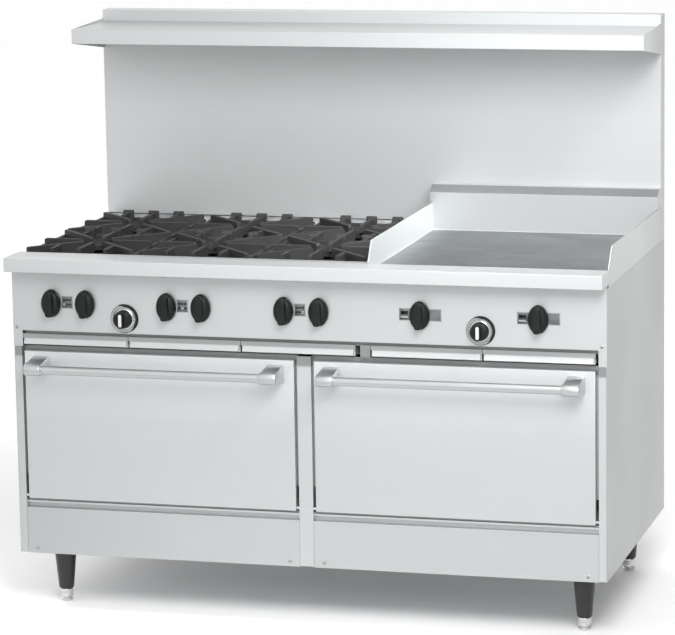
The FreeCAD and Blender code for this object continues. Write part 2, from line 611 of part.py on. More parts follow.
def grease_trough():
    """Deep channel in front of the plate with a drain chute in its floor."""
    x0, x1 = GRIDDLE_X0, HALF_W - SPLASH_T
    y0, y1 = F + 25, PLATE_Y0
    front_wall = box(x0, x1, y0, y0 + SHEET, TROUGH_Z - SHEET, COOK_Z - 5)
    floor = box(x0, x1, y0, y1, TROUGH_Z - SHEET, TROUGH_Z)
    back_wall = box(x0, x1, y1 - SHEET, y1, TROUGH_Z - SHEET, PLATE_Z - 4)
    left_cap = box(x0 - SPLASH_T, x0, y0 + 30, y1, TROUGH_Z - SHEET, 850)
    chute_x, chute_y = x0 + 90, y1 - 29
    chute = cyl((chute_x, chute_y, 722), Z_AXIS, 20, TROUGH_Z - 722)
    chute_bore = cyl((chute_x, chute_y, 700), Z_AXIS, 18, 200)
    return fuse([front_wall, floor, back_wall, left_cap, chute]).cut(chute_bore)


def griddle_burner(x):
    """Long flame tube under the plate, with its venturi at the front."""
    z = 824.0
    tube = rod((x, F + 170, z), (x, F + 650, z), 15)
    neck = rod((x, F + 85, KNOB_Z - 2), (x, F + 180, z), 12)
    mouth = cyl((x, F + 76, KNOB_Z - 2), Y_AXIS, 18, 14)
    bore = cyl((x, F + 70, KNOB_Z - 2), Y_AXIS, 8.5, 30)
    ports = []
    for i in range(14):
        y = F + 200 + i * 32
        for hand in (-1, 1):
            ports.append(cyl((x + hand * 8, y, z + 8), Z_AXIS, 2.2, 12))
    hangers = [box(x - 4, x + 4, y, y + 6, z + 12, PLATE_Z - PLATE_T) for y in (F + 186, F + 636)]
    return fuse([tube, neck, mouth] + hangers).cut(Part.makeCompound(ports + [bore]))


# ---- gas train ---------------------------------------------------------------------------
def gas_manifold():
    """Front pipe over the full width, an elbow, and the supply run to the rear inlet."""
    run_x = rod((-715, MANIFOLD_Y, MANIFOLD_Z), (SUPPLY_X, MANIFOLD_Y, MANIFOLD_Z), PIPE_R)
    cap = rod((-722, MANIFOLD_Y, MANIFOLD_Z), (-700, MANIFOLD_Y, MANIFOLD_Z), PIPE_R + 3.5)
    elbow = Part.makeSphere(PIPE_R + 4, V(SUPPLY_X, MANIFOLD_Y, MANIFOLD_Z))
    run_y = rod((SUPPLY_X, MANIFOLD_Y, MANIFOLD_Z), (SUPPLY_X, F + 690, MANIFOLD_Z), PIPE_R)
    tail = rod((SUPPLY_X, F + 762, MANIFOLD_Z), (SUPPLY_X, INLET_END, MANIFOLD_Z), PIPE_R)
    tail = tail.cut(cyl((SUPPLY_X, F + 790, MANIFOLD_Z), Y_AXIS, PIPE_BORE, 40))
    tees = []
    for x in (-MID_POST - 12, MID_POST + 12):
        tees.append(rod((x, MANIFOLD_Y, 720), (x, MANIFOLD_Y, MANIFOLD_Z), 7))
    return [fuse([run_x, cap, elbow, run_y] + tees), tail]


def gas_regulator():
    """Round diaphragm regulator in the supply run, inside the rear of the cabinet."""
    y0, y1 = F + 690, F + 762
    body = rod((SUPPLY_X, y0, MANIFOLD_Z), (SUPPLY_X, y1, MANIFOLD_Z), 19)
    mid = (y0 + y1) / 2
    disc = lathe([(0, -8), (30, -8), (34, -2), (34, 6), (24, 14), (13, 18), (13, 42), (0, 42)],
                 (SUPPLY_X, mid, MANIFOLD_Z + 12))
    return fuse([body, disc])


def gas_valve(x):
    """Brass tap on the manifold: body, neck, stem through the panel and orifice hood."""
    body = box(x - 12, x + 12, F + 12, F + 56, KNOB_Z - 12, KNOB_Z + 12)
    bonnet = cyl((x, F + 4, KNOB_Z), Y_AXIS, 10, 10)
    stem = cyl((x, F - 20, KNOB_Z), Y_AXIS, STEM_R, 30)
    neck = cyl((x, F + 48, MANIFOLD_Z), Z_AXIS, 8, 40)
    hood = cyl((x, F + 55, KNOB_Z - 2), Y_AXIS, 6.5, 18)
    shape = fuse([body, bonnet, stem, neck, hood])
    return shape.cut(rod((x - 60, MANIFOLD_Y, MANIFOLD_Z), (x + 60, MANIFOLD_Y, MANIFOLD_Z), PIPE_R))


def thermostat(x):
    """Oven thermostat behind the panel, and the round bezel on the front of the panel."""
    body = box(x - 26, x + 26, F + 3, F + 38, DIAL_Z - 24, DIAL_Z + 26)
    shaft = cyl((x, F - 22, DIAL_Z), Y_AXIS, STEM_R, 28)
    port = cyl((x + 15, F + 36, DIAL_Z + 18), Y_AXIS, 6, 20)
    bezel = lathe([(29, 0), (36, 0), (36, 2.5), (33.5, 5), (29, 5)], (x, F - SHEET, DIAL_Z), V(0, -1, 0))
    return [fuse([body, shaft, port]), bezel]


# ---- controls ----------------------------------------------------------------------------
def ellipse_wire(half_x, half_z, y):
    if half_z >= half_x:
        curve = Part.Ellipse(V(0, y, half_z), V(half_x, y, 0), V(0, y, 0))
    else:
        curve = Part.Ellipse(V(half_x, y, 0), V(0, y, half_z), V(0, y, 0))
    return Part.Wire([curve.toShape()])


def knob():
    """Oval valve knob about the origin: a domed base, and a tall grip ridge to turn it by."""
    sections = [ellipse_wire(24.0, 34.0, -3.0), ellipse_wire(25.0, 35.0, -8.0),
                ellipse_wire(23.0, 33.5, -17.0), ellipse_wire(17.0, 29.0, -23.0)]
    dome = Part.makeLoft(sections, True, False)
    ridge = prism_z([(-9.5, -18), (9.5, -18), (6.5, -35), (-6.5, -35)], -31.0, 31.0)
    bevels = []
    for side in (-1, 1):
        bevels.append(prism_x([(-36, side * 31.5), (-36, side * 27), (-28, side * 31.5)], -15, 15))
    ridge = ridge.cut(Part.makeCompound(bevels))
    body = fuse([dome, ridge])
    body = body.makeFillet(1.0, [e for e in body.Edges if e.BoundBox.YMin < -33 and e.BoundBox.YMax < -33])
    return body.cut(cyl((0, -21.0, 0), Y_AXIS, STEM_R + STEM_FIT, 30))


def dial():
    """Thermostat knob about the origin: sloped scale ring, round base and a pointer ridge."""
    turned = lathe([(0, 3.5), (28.5, 3.5), (28.5, 5.5), (24.0, 9.5), (23.0, 10.0), (22.0, 24.0), (19.5, 26.5),
                    (0, 26.5)], (0, 0, 0), V(0, -1, 0))
    ridge = box(-6, 6, -38, -25, -20.5, 20.5)
    body = fuse([turned, ridge])
    return body.cut(cyl((0, -22.5, 0), Y_AXIS, STEM_R + STEM_FIT, 30))


def label_plate(x, z, width, height, hole):
    plate = box(x - width / 2, x + width / 2, F - SHEET - 0.8, F - SHEET, z - height / 2, z + height / 2)
    if hole:
        plate = plate.cut(cyl((x, F - 10, KNOB_Z), Y_AXIS, 9, 20))
    return plate


# ---- drip trays, legs, fasteners ---------------------------------------------------------
def drip_tray(x0, x1):
    """Stamped pan with ribs pressed in its floor and a bent finger lip in front."""
    pan = box(x0, x1, F + 2, F + TRAY_LENGTH, TRAY_Z0, TRAY_Z1)
    pan = pan.cut(box(x0 + 1.5, x1 - 1.5, F + 3.5, F + TRAY_LENGTH - 1.5, TRAY_Z0 + 1.5, TRAY_Z1 + 1))
    edge = box(x0 - 1.4, x1 + 1.4, F - 3, F + 2, 700, 711)
    lip = prism_x([(F + 2, 700), (F + 2, 688), (F - 2, 688), (F - 8, 685.5), (F - 9.5, 686.5), (F - 3, 700)],
                  x0 + 3, x1 - 3)
    bend = prism_x([(F + 0.5, 709), (F + 0.5, 687), (F - 1.5, 688.5), (F - 7.5, 687.2), (F - 1.5, 700),
                    (F - 1.5, 709)], x0 + 4.5, x1 - 4.5)
    front = fuse([edge, lip]).cut(bend)
    ribs = []
    count = max(2, int((x1 - x0) / 95))
    for i in range(count):
        x = x0 + (i + 1) * (x1 - x0) / (count + 1)
        ribs.append(box(x - 6, x + 6, F + 80, F + TRAY_LENGTH - 80, TRAY_Z0 + 1.0, TRAY_Z0 + 4))
    return fuse([pan, front] + ribs)


def leg(x, y):
    """Tapered leg with a top flange and a bore for the levelling foot."""
    body = lathe([(FOOT_STEM_R + 0.05, FOOT_H + 0.5), (18.5, FOOT_H + 0.5), (19.5, 40), (27.5, 128), (27.5, 145),
                  (42, 145), (42, BASE_Z), (0, BASE_Z), (0, 110), (FOOT_STEM_R + 0.05, 110)], (x, y, 0))
    return body


def foot(x, y):
    return lathe([(0, 0), (13.5, 0), (14.5, 2), (14.5, 7), (FOOT_R, 9), (FOOT_R, FOOT_H), (FOOT_STEM_R, FOOT_H),
                  (FOOT_STEM_R, 95), (0, 95)], (x, y, 0))


def screw(x, y, z, direction):
    """Pan head seated on a surface; the direction points away from it."""
    return lathe([(0, 0), (4.2, 0), (4.2, 1.0), (3.0, 2.4), (0, 2.4)], (x, y, z), direction)


def all_screws():
    out = V(0, -1, 0)
    screws = [screw(-740, F - SHEET, 727, out), screw(738, F - SHEET, 727, out)]
    for x in (-335, -294, 2, 258, 298, 595):
        screws.append(screw(x, F - 50, COOK_Z - 34, V(0, 0, -1)))
    for side in BAY_SIDES:
        for x in (BAY_CX - 330, BAY_CX + 330):
            screws.append(screw(side * x, F, 162, out))
    for x in (-735, -370, 0, 370, 735):
        for z in (170, 500, 890):
            screws.append(screw(x, BACK, z, V(0, 1, 0)))
    return screws


KNOBS_X = [cx + side * KNOB_OFFSET for cx in COLUMNS for side in BAY_SIDES] + list(GRIDDLE_KNOBS)


def build():
    os.makedirs("parts", exist_ok=True)
    save("left_side_panel", side_panel(-1))
    save("right_side_panel", side_panel(1))
    save("rear_panel", rear_panel())
    save("bottom_pan", bottom_pan())
    save("front_frame", front_frame())
    save("control_panel", control_panel())
    save("front_rail", front_rail())
    save("kick_panels", [kick_panel(-1), kick_panel(1)])
    save("backguard", backguard())
    save("high_shelf", high_shelf())

    for side, hand_name in ((-1, "left"), (1, "right")):
        cx = side * BAY_CX
        save(hand_name + "_oven_rack", oven_rack(cx))
        save(hand_name + "_door_skin", door_skin(cx))
        save(hand_name + "_door_liner", door_liner(cx))
        save(hand_name + "_door_handle", door_handle(cx))
        save(hand_name + "_hinge_arms", [hinge_arm(cx - ARM_X), hinge_arm(cx + ARM_X)])
    save("oven_liners", oven_liner(-BAY_CX) + oven_liner(BAY_CX))
    save("oven_decks", [oven_deck(side * BAY_CX) for side in BAY_SIDES])
    save("oven_burners", [oven_burner(side * BAY_CX) for side in BAY_SIDES])
    save("hinge_receivers", [hinge_receiver(side * BAY_CX, hand) for side in BAY_SIDES for hand in (-1, 1)])

    save("cooktop_frame", cooktop_frame())
    save("tray_hangers", tray_hangers())
    casting = grate()
    burners = []
    for cx, column in zip(COLUMNS, COLUMN_NAMES):
        for y, row in zip(ROWS, ROW_NAMES):
            placed = casting.copy()
            placed.translate(V(cx, y, 0))
            save("grate_%s_%s" % (column, row), placed)
            rear = row == "rear"
            valve_x = cx + KNOB_OFFSET * (1 if rear else -1)
            burners += open_burner(cx, y, valve_x, rear)
    save("open_burners", burners)

    save("griddle_plate", griddle_plate())
    save("griddle_splash", griddle_splash())
    save("grease_trough", grease_trough())
    save("griddle_burners", [griddle_burner(x) for x in GRIDDLE_KNOBS])

    save("gas_manifold", gas_manifold())
    save("gas_regulator", gas_regulator())
    save("gas_valves", [gas_valve(x) for x in KNOBS_X])
    save("thermostats", [s for x in DIALS for s in thermostat(x)])

    names = ["knob_%s_%s" % (c, r) for c in COLUMN_NAMES for r in ROW_NAMES]
    names += ["knob_griddle_left", "knob_griddle_right"]
    grip = knob()
    for name, x in zip(names, KNOBS_X):
        placed = grip.copy()
        placed.translate(V(x, F, KNOB_Z))
        save(name, placed)
    scale = dial()
    for name, x in zip(("dial_left_oven", "dial_right_oven"), DIALS):
        placed = scale.copy()
        placed.translate(V(x, F - SHEET, DIAL_Z))
        save(name, placed)
    plates = [label_plate(cx - 4, 793, 28, 31, False) for cx in COLUMNS]
    plates += [label_plate(x, 791, 105, 30, True) for x in GRIDDLE_KNOBS]
    save("label_plates", plates)

    for name, (x0, x1) in zip(TRAY_NAMES, TRAY_EDGES):
        save("drip_tray_" + name, drip_tray(x0, x1))
    spots = [(sx * LEG_X, y) for sx in BAY_SIDES for y in LEG_Y]
    save("legs", [leg(x, y) for x, y in spots])
    save("levelling_feet", [foot(x, y) for x, y in spots])
    save("screws", all_screws())


build()
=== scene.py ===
"""Looks for the restaurant gas range: materials, detailed small parts, studio floor, light and camera."""

import json
import math

import bmesh
import bpy
from mathutils import Matrix, Vector


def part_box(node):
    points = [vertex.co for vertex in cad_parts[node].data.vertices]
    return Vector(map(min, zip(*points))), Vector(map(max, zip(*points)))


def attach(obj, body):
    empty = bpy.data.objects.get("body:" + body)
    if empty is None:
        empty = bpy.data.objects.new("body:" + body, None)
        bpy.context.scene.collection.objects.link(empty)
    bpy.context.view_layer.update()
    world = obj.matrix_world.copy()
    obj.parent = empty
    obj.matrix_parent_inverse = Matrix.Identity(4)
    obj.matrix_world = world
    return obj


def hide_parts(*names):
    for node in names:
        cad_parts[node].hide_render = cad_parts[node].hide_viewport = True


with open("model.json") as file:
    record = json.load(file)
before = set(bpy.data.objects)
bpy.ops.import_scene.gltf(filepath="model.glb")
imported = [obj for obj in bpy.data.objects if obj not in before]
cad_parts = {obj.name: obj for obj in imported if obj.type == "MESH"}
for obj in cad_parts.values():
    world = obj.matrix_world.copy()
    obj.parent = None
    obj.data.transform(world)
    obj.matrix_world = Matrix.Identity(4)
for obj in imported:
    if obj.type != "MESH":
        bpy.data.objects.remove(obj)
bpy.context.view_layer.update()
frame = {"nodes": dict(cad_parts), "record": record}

ROOT = "range"
NODES = frame["nodes"]
BODY_OF = {n: b for b, members in frame["record"]["behaviour"]["bodies"].items() for n in members}
SLOT_OF = {s["node"]: s["material_slot"] for s in frame["record"]["subparts"]}


# ---- node helpers --------------------------------------------------------------------------
class Shader:
    """One material whose Principled shader is fed by a few procedural layers."""

    def __init__(self, name, base, roughness, metallic=0.0, specular=0.5, coat=0.0, coat_roughness=0.1):
        self.material = bpy.data.materials.new(name)
        self.material.use_nodes = True
        self.tree = self.material.node_tree
        self.shader = self.tree.nodes["Principled BSDF"]
        self.shader.inputs["Base Color"].default_value = (*base, 1)
        self.shader.inputs["Roughness"].default_value = roughness
        self.shader.inputs["Metallic"].default_value = metallic
        self.shader.inputs["Specular IOR Level"].default_value = specular
        self.shader.inputs["Coat Weight"].default_value = coat
        self.shader.inputs["Coat Roughness"].default_value = coat_roughness
        self.base, self.roughness = base, roughness
        self.colour_socket, self.rough_socket, self.normal_socket = None, None, None
        self.material.diffuse_color = (*base, 1)

    def node(self, kind, **settings):
        made = self.tree.nodes.new(kind)
        for key, value in settings.items():
            if key in made.inputs:
                made.inputs[key].default_value = value
            else:
                setattr(made, key, value)
        return made

    def link(self, out, into):
        self.tree.links.new(out, into)

    def coords(self, scale, turn=(0, 0, 0)):
        """Object coordinates, in metres, stretched to a scale."""
        place = self.node("ShaderNodeTexCoord")
        fit = self.node("ShaderNodeMapping")
        fit.inputs["Scale"].default_value = scale
        fit.inputs["Rotation"].default_value = turn
        self.link(place.outputs["Object"], fit.inputs["Vector"])
        return fit.outputs["Vector"]

    def noise(self, scale, detail=4.0, rough=0.6, turn=(0, 0, 0), distortion=0.0):
        if not isinstance(scale, tuple):
            scale = (scale, scale, scale)
        made = self.node("ShaderNodeTexNoise", Scale=1.0, Detail=detail, Roughness=rough,
                         Distortion=distortion)
        self.link(self.coords(scale, turn), made.inputs["Vector"])
        return made.outputs["Fac"]

    def cells(self, scale, output="Distance"):
        made = self.node("ShaderNodeTexVoronoi", Scale=1.0)
        self.link(self.coords((scale, scale, scale)), made.inputs["Vector"])
        return made.outputs[output]

    def span(self, value, low, high, start=0.3, end=0.7):
        made = self.node("ShaderNodeMapRange")
        made.inputs["From Min"].default_value = start
        made.inputs["From Max"].default_value = end
        made.inputs["To Min"].default_value = low
        made.inputs["To Max"].default_value = high
        self.link(value, made.inputs["Value"])
        return made.outputs["Result"]

    def math(self, operation, a, b):
        made = self.node("ShaderNodeMath", operation=operation)
        for socket, value in zip(made.inputs, (a, b)):
            if isinstance(value, (int, float)):
                socket.default_value = value
            else:
                self.link(value, socket)
        return made.outputs["Value"]

    def choose(self, factor, a, b):
        made = self.node("ShaderNodeMix", data_type="FLOAT")
        self.link(factor, made.inputs["Factor"])
        self.link(a, made.inputs["A"])
        self.link(b, made.inputs["B"])
        return made.outputs["Result"]

    def tint(self, factor, colour, low=0.0, high=1.0, start=0.3, end=0.7):
        """Mix the colour so far towards another by a texture."""
        made = self.node("ShaderNodeMix", data_type="RGBA")
        self.link(self.span(factor, low, high, start, end), made.inputs["Factor"])
        if self.colour_socket is None:
            made.inputs["A"].default_value = (*self.base, 1)
        else:
            self.link(self.colour_socket, made.inputs["A"])
        made.inputs["B"].default_value = (*colour, 1)
        self.colour_socket = made.outputs["Result"]

    def rough(self, value, amount, start=0.3, end=0.7):
        """Raise or lower the roughness by a texture."""
        offset = self.span(value, -amount, amount, start, end)
        so_far = self.roughness if self.rough_socket is None else self.rough_socket
        self.rough_socket = self.math("ADD", so_far, offset)

    def bump(self, height, strength, distance):
        made = self.node("ShaderNodeBump", Strength=strength, Distance=distance)
        self.link(height, made.inputs["Height"])
        if self.normal_socket is not None:
            self.link(self.normal_socket, made.inputs["Normal"])
        self.normal_socket = made.outputs["Normal"]

    def done(self):
        for socket, name in ((self.colour_socket, "Base Color"), (self.rough_socket, "Roughness"),
                             (self.normal_socket, "Normal")):
            if socket is not None:
                self.link(socket, self.shader.inputs[name])
        return self.material


def faces_sideways(s):
    """1 on surfaces that face along X, 0 elsewhere."""
    geometry = s.node("ShaderNodeNewGeometry")
    split = s.node("ShaderNodeSeparateXYZ")
    s.link(geometry.outputs["Normal"], split.inputs["Vector"])
    return s.math("GREATER_THAN", s.math("ABSOLUTE", split.outputs["X"], 0.0), 0.7)


def facing(s, direction, start=0.6, end=0.9):
    """Rises from 0 to 1 as the surface turns towards a direction."""
    geometry = s.node("ShaderNodeNewGeometry")
    dot = s.node("ShaderNodeVectorMath", operation="DOT_PRODUCT")
    s.link(geometry.outputs["Normal"], dot.inputs[0])
    dot.inputs[1].default_value = direction
    return s.span(dot.outputs["Value"], 0.0, 1.0, start, end)


def ramp(s, axis, start, end):
    """Rises from 0 to 1 between two places on one object axis, in metres."""
    split = s.node("ShaderNodeSeparateXYZ")
    s.link(s.coords((1, 1, 1)), split.inputs["Vector"])
    return s.span(split.outputs[axis], 0.0, 1.0, start, end)


# ---- materials -----------------------------------------------------------------------------
def brushed(name, base, roughness=0.36, grain_bump=0.02, cloud=0.02, streak=0.03, metallic=0.6, painted_light_zones=()):
    """Number 4 stainless: fine grain along X, or along Y on the sides, with faint handling marks.

    Each zone is a function that gives a mask, and the factor that darkens or lightens the steel's colour
    there: painted shade below 1, painted light above 1.
    """
    s = Shader(name, base, roughness, metallic=metallic)
    s.shader.inputs["Anisotropic"].default_value = 0.45
    s.shader.inputs["Anisotropic Rotation"].default_value = 0.25
    around = s.node("ShaderNodeTangent", direction_type="RADIAL", axis="Z")
    s.link(around.outputs["Tangent"], s.shader.inputs["Tangent"])
    side = faces_sideways(s)
    fine = s.choose(side, s.noise((9, 900, 1500), 5, 0.7), s.noise((900, 9, 1500), 5, 0.7))
    long = s.choose(side, s.noise((1.3, 160, 260), 3, 0.5), s.noise((160, 1.3, 260), 3, 0.5))
    smudge = s.noise(2.6, 5, 0.55, distortion=0.6)
    dark = tuple(c * 0.86 for c in base)
    light = tuple(min(1.0, c * 1.07) for c in base)
    s.tint(fine, dark, 0.0, 0.25)
    s.tint(long, light, 0.0, 0.25)
    s.tint(smudge, dark, 0.0, cloud * 4, 0.45, 0.75)
    # painted light and shade: the base colour is scaled inside each zone's mask
    for mask, shade in painted_light_zones:
        s.tint(mask(s), tuple(c * shade for c in base), 0.0, 1.0, 0.0, 1.0)
    s.rough(fine, streak)
    s.rough(smudge, cloud, 0.35, 0.7)
    s.bump(fine, grain_bump, 0.0004)
    s.bump(smudge, 0.04, 0.004)
    return s.done()


def dull_sheet(name, base):
    """Zinc or aluminium coated sheet with soft crystal patches."""
    s = Shader(name, base, 0.45, metallic=0.9)
    patches = s.cells(70, output="Color")
    s.tint(patches, tuple(c * 0.8 for c in base), 0.0, 0.6, 0.2, 0.8)
    s.tint(s.noise(14, 5, 0.6), tuple(c * 1.12 for c in base), 0.0, 0.5)
    s.rough(patches, 0.08, 0.2, 0.8)
    s.bump(s.noise(300, 3), 0.05, 0.0004)
    return s.done()


def porcelain(name, base):
    """Fired enamel: glossy dark coat with pale flecks and a slight orange peel."""
    s = Shader(name, base, 0.32, specular=0.5, coat=0.35, coat_roughness=0.08)
    flecks = s.cells(520)
    s.tint(flecks, (0.55, 0.56, 0.58), 1.0, 0.0, 0.05, 0.16)
    s.tint(s.noise(9, 5), tuple(c * 0.55 for c in base), 0.0, 0.7)
    s.bump(s.noise(160, 2), 0.12, 0.0006)
    return s.done()


def cast(name, base, roughness=0.66):
    """Sand-cast iron with pits, a rough skin and an uneven seasoned sheen."""
    s = Shader(name, base, roughness, metallic=0.1, specular=0.3)
    grain = s.noise(620, 5, 0.7)
    blotch = s.noise(26, 5, 0.6, distortion=0.4)
    s.tint(blotch, tuple(c * 1.7 for c in base), 0.0, 0.7)
    s.tint(grain, tuple(c * 0.5 for c in base), 0.0, 0.7)
    s.tint(s.noise(7, 3), (base[0] * 1.5, base[1] * 1.35, base[2] * 1.2), 0.0, 0.45)
    s.rough(blotch, 0.1)
    s.bump(grain, 0.5, 0.0007)
    s.bump(s.noise(140, 3), 0.25, 0.0015)
    return s.done()


def ground_plate(name, base):
    """Griddle plate: long grinding marks crossed by fine scraper arcs, with seasoned patches."""
    s = Shader(name, base, 0.38, metallic=1.0)
    marks = s.noise((14, 420, 60), 5, 0.65, turn=(0, 0, 0.03))
    arcs = s.noise((260, 20, 40), 4, 0.6, turn=(0, 0, 0.35))
    season = s.noise(5.5, 5, 0.6, distortion=0.8)
    s.tint(marks, tuple(c * 0.78 for c in base), 0.0, 0.6)
    s.tint(arcs, tuple(min(1, c * 1.15) for c in base), 0.0, 0.35)
    s.tint(season, (base[0] * 0.86, base[1] * 0.85, base[2] * 0.82), 0.0, 0.5)
    s.rough(season, 0.05)
    s.rough(marks, 0.06)
    s.bump(marks, 0.12, 0.0005)
    s.bump(arcs, 0.06, 0.0004)
    return s.done()


def satin(name, base, roughness, metallic=0.0, grain=900, bump=0.06, specular=0.5):
    """Moulded or powder-coated surface with a fine peel and slight wear in its sheen."""
    s = Shader(name, base, roughness, metallic=metallic, specular=specular)
    peel = s.noise(grain, 3, 0.5)
    wear = s.noise(38, 4, 0.6)
    s.tint(wear, tuple(min(1, c * 1.35 + 0.004) for c in base), 0.0, 0.5)
    s.rough(wear, 0.07)
    s.bump(peel, bump, 0.0005)
    return s.done()


def bright(name, base, roughness):
    """Polished plating with faint swirls."""
    s = Shader(name, base, roughness, metallic=1.0)
    swirl = s.noise((220, 220, 40), 4, 0.6)
    s.tint(swirl, tuple(c * 0.9 for c in base), 0.0, 0.4)
    s.rough(swirl, 0.05)
    s.bump(swirl, 0.03, 0.0003)
    return s.done()


# where painted shade and painted light on the steel fade in: two places on one axis each, in metres
GRIDDLE_MIDDLE_X = (0.6, 0.4)
HEM_FOOT_Z = (0.9865, 0.988)
STOP_FOOT_Z = (0.650, 0.656)
CROSS_RAIL_Z = (0.700, 0.705)
DOOR_UPPER_Z = (0.50, 0.66)
LEFT_END_X = (-0.30, -0.75)
TRAY_EDGE_Z = (0.6985, 0.7005)


# painted shade: the upward faces of the high shelf are darkened
def painted_shade_shelf_top(s):
    return facing(s, (0, 0, 1))


# painted shade: faces of the griddle splash turned to the front are darkened
def painted_shade_rear_wall(s):
    return facing(s, (0, -1, 0))


def painted_light_left_wall(s):
    """Inner face of the griddle's left wall, lightened: painted light."""
    return s.math("MULTIPLY", facing(s, (1, 0, 0)), ramp(s, "X", *GRIDDLE_MIDDLE_X))


def painted_shade_hem(s):
    """The sloping hem along the top of the griddle's rear wall, darkened: painted shade."""
    return s.math("MULTIPLY", ramp(s, "Z", *HEM_FOOT_Z), facing(s, (0, -0.62, 0.78), 0.9, 0.96))


def painted_shade_recess(s):
    """Stops over the doors, darkened: painted shade in the recess."""
    return ramp(s, "Z", *STOP_FOOT_Z)


def painted_shade_cross_rail(s):
    """Rail face behind the slot between the drip trays and the control panel, darkened: painted shade in
    the slot.
    """
    return ramp(s, "Z", *CROSS_RAIL_Z)


# painted light: the upper part of each door skin is lightened
def painted_light_door_top(s):
    return ramp(s, "Z", *DOOR_UPPER_Z)


# painted shade: steel towards the left end of the range is darkened
def painted_shade_left_end(s):
    return ramp(s, "X", *LEFT_END_X)


def painted_shade_tray_edge(s):
    """Upper edge of a drip tray, darkened: painted shade under the control panel."""
    return ramp(s, "Z", *TRAY_EDGE_Z)


STAINLESS = (0.475, 0.488, 0.492)
MATERIALS = {
    "stainless": brushed("stainless", STAINLESS),
    "galvanised": dull_sheet("galvanised", (0.50, 0.51, 0.52)),
    "enamel": porcelain("enamel", (0.035, 0.04, 0.048)),
    "bright_wire": bright("bright_wire", (0.64, 0.64, 0.65), 0.20),
    # painted shade: the side panels take a darker copy of the stainless
    "side_steel_painted_shade": brushed("side_steel_painted_shade", (0.38, 0.39, 0.394)),
    "shelf_steel": brushed("shelf_steel", STAINLESS, painted_light_zones=((painted_shade_shelf_top, 0.82),)),
    "splash_steel": brushed("splash_steel", STAINLESS,
                            painted_light_zones=((painted_shade_rear_wall, 0.86), (painted_light_left_wall, 1.25), (painted_shade_hem, 0.56))),
    "frame_steel": brushed("frame_steel", STAINLESS,
                           painted_light_zones=((painted_shade_left_end, 0.93), (painted_shade_recess, 0.5), (painted_shade_cross_rail, 0.5))),
    "door_steel": brushed("door_steel", STAINLESS, painted_light_zones=((painted_light_door_top, 1.18),)),
    "panel_steel": brushed("panel_steel", STAINLESS, painted_light_zones=((painted_shade_left_end, 0.93),)),
    # painted light and shade: the rail takes a lighter copy of the stainless and the kick panels a darker
    # one, both darkened again towards the left end
    "rail_steel_painted_light_shade": brushed("rail_steel_painted_light_shade", tuple(c * 1.08 for c in STAINLESS), painted_light_zones=((painted_shade_left_end, 0.93),)),
    "kick_steel_painted_shade": brushed("kick_steel_painted_shade", tuple(c * 0.93 for c in STAINLESS), painted_light_zones=((painted_shade_left_end, 0.90),)),
    "castings": cast("castings", (0.023, 0.023, 0.0245)),
    "griddle_steel": ground_plate("griddle_steel", (0.205, 0.22, 0.222)),
    "handle_metal": brushed("handle_metal", (0.47, 0.48, 0.485), 0.30, 0.01, 0.02, metallic=0.9),
    "pipe_paint": satin("pipe_paint", (0.018, 0.018, 0.019), 0.45),
    "regulator_body": satin("regulator_body", (0.42, 0.43, 0.44), 0.5, metallic=0.9, grain=500, bump=0.2),
    "valve_brass": bright("valve_brass", (0.62, 0.46, 0.20), 0.28),
    "knob_plastic": satin("knob_plastic", (0.005, 0.006, 0.006), 0.48, grain=1500, specular=0.22),
    "label_ink": satin("label_ink", (0.11, 0.117, 0.12), 0.75, grain=1200, specular=0.1),
    "tray_steel": brushed("tray_steel", (0.46, 0.47, 0.475), 0.36, 0.03, 0.04,
                          painted_light_zones=((painted_shade_tray_edge, 0.6),)),
    "leg_paint": satin("leg_paint", (0.012, 0.012, 0.013), 0.36, grain=700, bump=0.12),
    "screw_steel": bright("screw_steel", (0.36, 0.36, 0.36), 0.30),
    "dial_white": satin("dial_white", (0.42, 0.42, 0.42), 0.42),
    "dial_ring": brushed("dial_ring", (0.46, 0.47, 0.475), 0.26, 0.02, 0.02),
    "dial_bezel": bright("dial_bezel", (0.42, 0.43, 0.44), 0.22),
    "mark_black": satin("mark_black", (0.012, 0.012, 0.012), 0.7, specular=0.15),
    "mark_pale": satin("mark_pale", (0.34, 0.35, 0.35), 0.6),
}


# ---- mesh helpers --------------------------------------------------------------------------
def new_piece(name, bm, material, body, smooth_angle=40, subdivide=0):
    """Turn a bmesh, in the row frame and metres, into one finished piece that rides on a body."""
    mesh = bpy.data.meshes.new(name)
    bmesh.ops.recalc_face_normals(bm, faces=bm.faces)
    bm.to_mesh(mesh)
    bm.free()
    obj = bpy.data.objects.new(name, mesh)
    bpy.context.scene.collection.objects.link(obj)
    mesh.materials.append(MATERIALS[material])
    finish_surface(obj, smooth_angle)
    if subdivide:
        sub = obj.modifiers.new("smooth", "SUBSURF")
        sub.levels = subdivide
        sub.render_levels = subdivide
    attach(obj, body)
    return obj


def finish_surface(obj, smooth_angle, bevel=0.0):
    """Shade smooth, keep edges sharp past an angle, and round them if asked."""
    mesh = obj.data
    mesh.polygons.foreach_set("use_smooth", [True] * len(mesh.polygons))
    mesh.set_sharp_from_angle(angle=math.radians(smooth_angle))
    if bevel:
        rounding = obj.modifiers.new("edges", "BEVEL")
        rounding.width = bevel
        rounding.segments = 2
        rounding.limit_method = "ANGLE"
        rounding.angle_limit = math.radians(smooth_angle)
        rounding.harden_normals = True


def loft(bm, rings, close_start=True, close_end=True):
    """Skin a list of equal-length point rings."""
    loops = [[bm.verts.new(p) for p in ring] for ring in rings]
    count = len(loops[0])
    for a, b in zip(loops, loops[1:]):
        for i in range(count):
            j = (i + 1) % count
            bm.faces.new((a[i], a[j], b[j], b[i]))
    if close_start:
        bm.faces.new(loops[0][::-1])
    if close_end:
        bm.faces.new(loops[-1])


